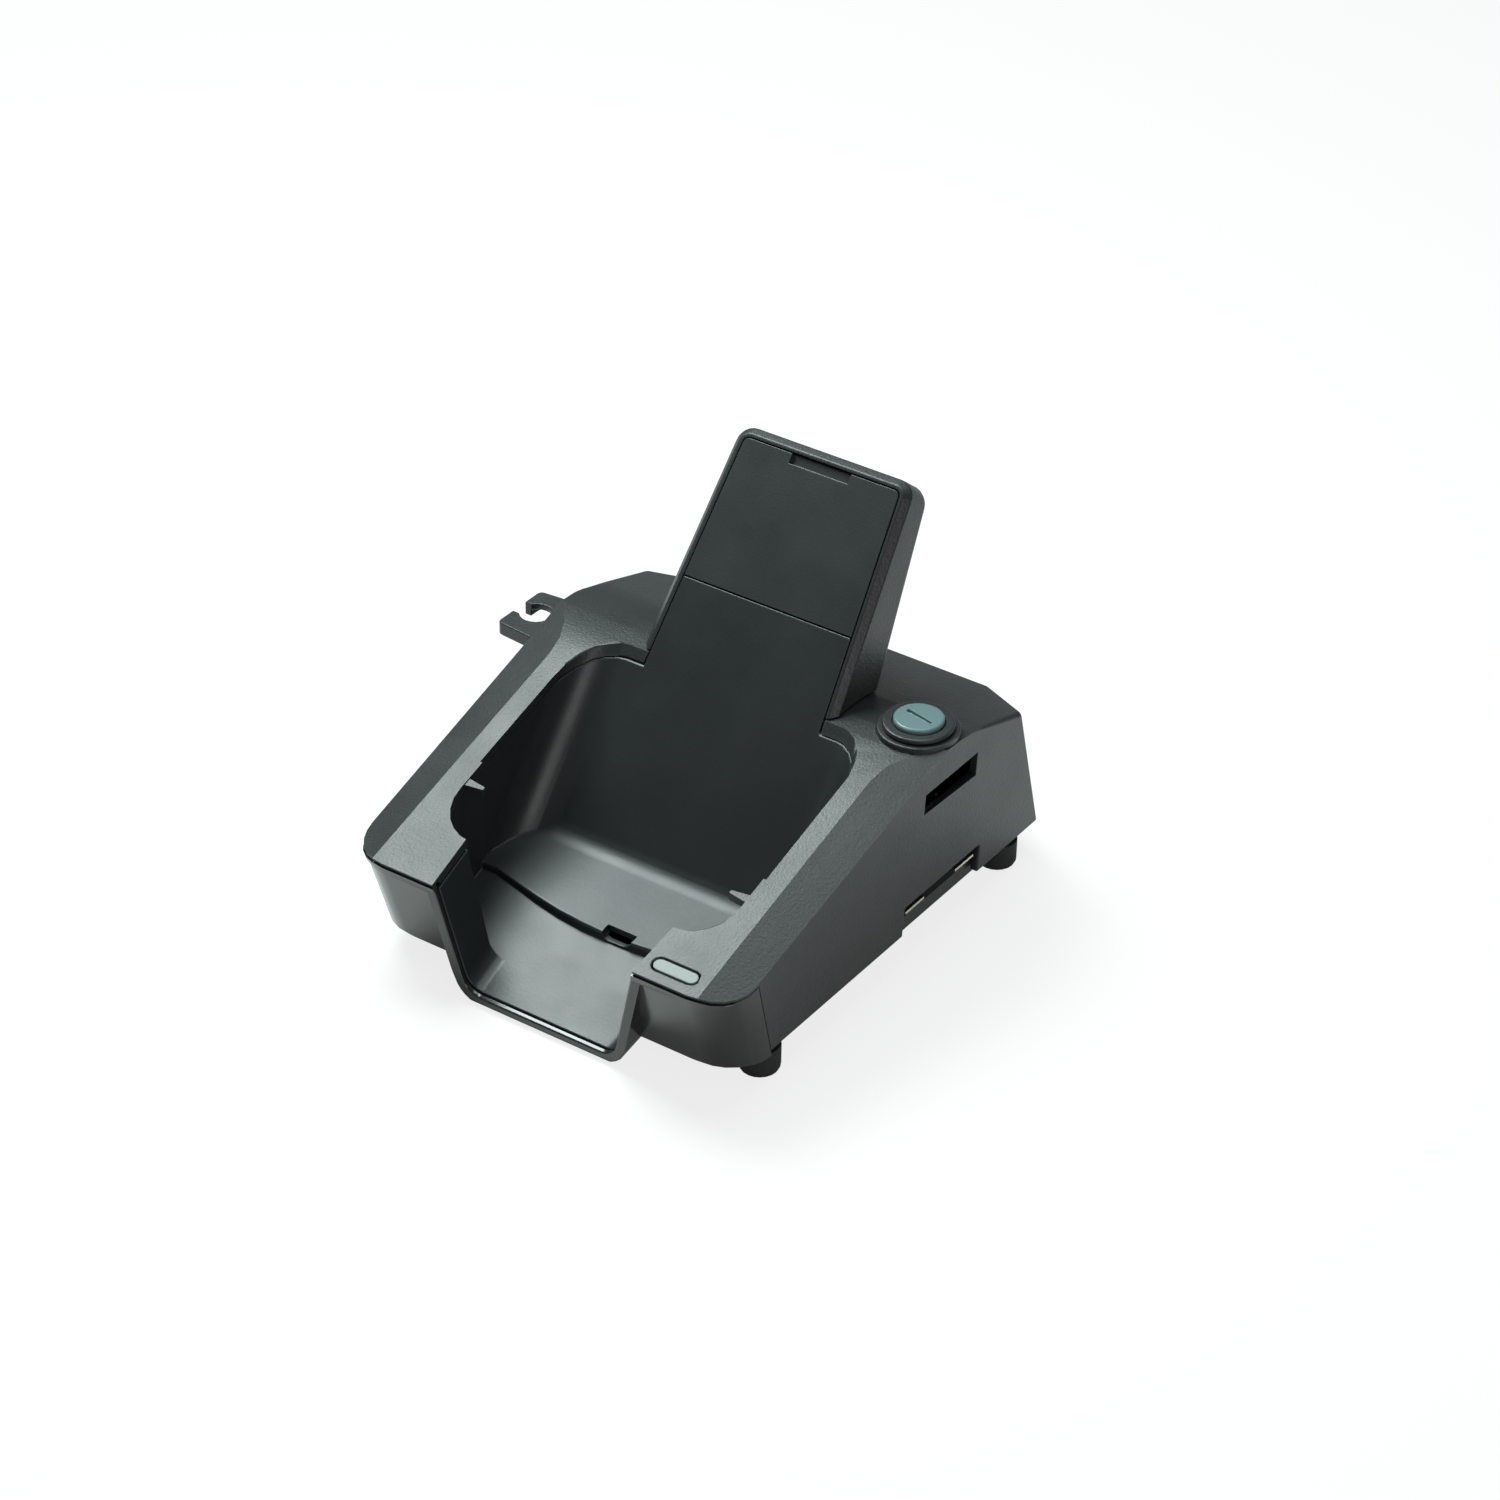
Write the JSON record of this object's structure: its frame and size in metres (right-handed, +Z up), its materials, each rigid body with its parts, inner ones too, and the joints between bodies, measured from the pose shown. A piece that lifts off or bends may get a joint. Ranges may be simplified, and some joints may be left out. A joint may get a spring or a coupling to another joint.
{
  "type": "gas detector charging cradle",
  "caption": "Desktop charging cradle for a portable gas detector: sloped housing with a detector well, open front chute, tilted backrest, side link fork and coin-slot lock.",
  "frame": {"origin": "middle of the part's footprint box, on the plane the feet stand on", "axes": "+X to the cradle's right seen from the front, +Y from the front chute to the rear, +Z up"},
  "size_m": [0.1274, 0.1424, 0.1013],
  "materials": {
    "charcoal_plastic": "fine moulded texture, semi-matte",
    "black_gloss_plastic": "smooth and glossy",
    "liner_plastic": "smooth satin",
    "teal_plastic": "satin",
    "rubber": "matte",
    "steel": "zinc plated",
    "contact_metal": "plated contact brass",
    "board": "green solder mask on glass-epoxy",
    "copper": "enamelled copper wire, wound flat",
    "ferrite": "dull sintered ferrite",
    "lens": "white, light-diffusing",
    "led": "white package"
  },
  "bodies": {
    "base": {"backrest_panel": "liner_plastic", "backrest_screw_1": "steel", "backrest_screw_2": "steel", "backrest_shell": "charcoal_plastic", "board_screw_1": "steel", "board_screw_2": "steel", "board_screw_3": "steel", "board_screw_4": "steel", "bottom_plate": "charcoal_plastic", "bracket_screw_1": "steel", "bracket_screw_2": "steel", "charging_coil": "copper", "circuit_board": "board", "coil_bracket": "liner_plastic", "cradle_tray": "liner_plastic", "ferrite_plate": "ferrite", "foot_front_left": "rubber", "foot_front_right": "rubber", "foot_rear_left": "rubber", "foot_rear_right": "rubber", "fork_screw_1": "steel", "fork_screw_2": "steel", "front_panel": "black_gloss_plastic", "housing_screw_1": "steel", "housing_screw_2": "steel", "housing_screw_3": "steel", "housing_screw_4": "steel", "led_board": "board", "link_fork": "charcoal_plastic", "link_plug": "liner_plastic", "link_socket": "liner_plastic", "lock_bezel": "charcoal_plastic", "socket_blade_1": "contact_metal", "socket_blade_2": "contact_metal", "status_led": "led", "status_lens": "lens", "top_housing": "charcoal_plastic"},
    "lock": {"lock_knob": "teal_plastic", "lock_cam": "steel", "cam_screw": "steel", "lock_washer": "steel"},
    "contact_pin_1": {"contact_pin_1": "contact_metal"},
    "contact_pin_2": {"contact_pin_2": "contact_metal"}
  },
  "joints": [
    {"name": "lock_turn", "type": "hinge", "parent": "base", "child": "lock", "pos_m": [0.05358, 0.01899, 0.04699], "axis": [0, 0, 1], "range_deg": [0, 90]},
    {"name": "contact_pin_1_press", "type": "slide", "parent": "base", "child": "contact_pin_1", "axis": [1, 0, 0], "range_m": [0, 0.0015], "stiffness_N_per_m": 100},
    {"name": "contact_pin_2_press", "type": "slide", "parent": "base", "child": "contact_pin_2", "axis": [1, 0, 0], "range_m": [0, 0.0015], "stiffness_N_per_m": 100}
  ]
}
